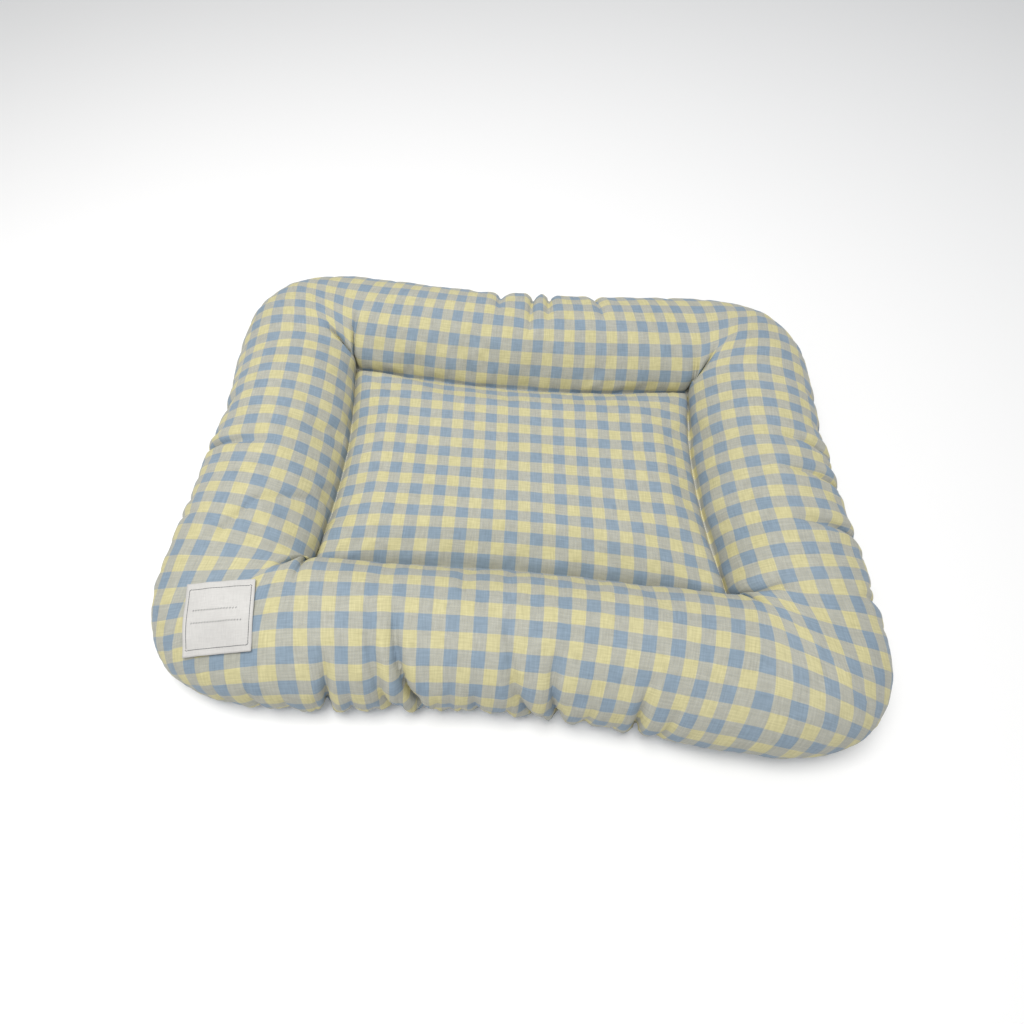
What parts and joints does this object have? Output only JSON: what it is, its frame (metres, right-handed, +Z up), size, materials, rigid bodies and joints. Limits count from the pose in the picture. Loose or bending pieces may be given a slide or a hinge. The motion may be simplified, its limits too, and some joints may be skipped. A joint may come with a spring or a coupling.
{
  "type": "pet cushion bed",
  "caption": "Rectangular sewn pet cushion with a stuffed rim round a lower stuffed pad, waisted sides and rounded corners, in checked cloth with a small woven label.",
  "frame": {"origin": "on the floor under the middle of the bed", "axes": "+X along the long side, +Y from the side with the label towards the opposite side, +Z up"},
  "size_m": [0.75, 0.6, 0.092],
  "materials": {
    "checked_cloth": "pale blue and pale yellow checked cotton, matt",
    "base_cloth": "the same checked cotton, matt",
    "rim_fibre": "loose white polyester fibre",
    "pad_fibre": "loose white polyester fibre",
    "label_cloth": "smooth white woven tape",
    "label_thread_grey": "dark grey sewing thread",
    "seam_thread_white": "off-white sewing thread"
  },
  "bodies": {
    "root": {"top_cover": "checked_cloth", "base_cover": "base_cloth", "rim_fill": "rim_fibre", "pad_fill": "pad_fibre", "label": "label_cloth", "label_thread": "label_thread_grey", "pad_seam_needle_thread": "seam_thread_white", "pad_seam_bobbin_thread": "seam_thread_white", "rim_seam_needle_thread": "seam_thread_white", "rim_seam_bobbin_thread": "seam_thread_white", "closing_thread": "seam_thread_white"}
  },
  "joints": []
}
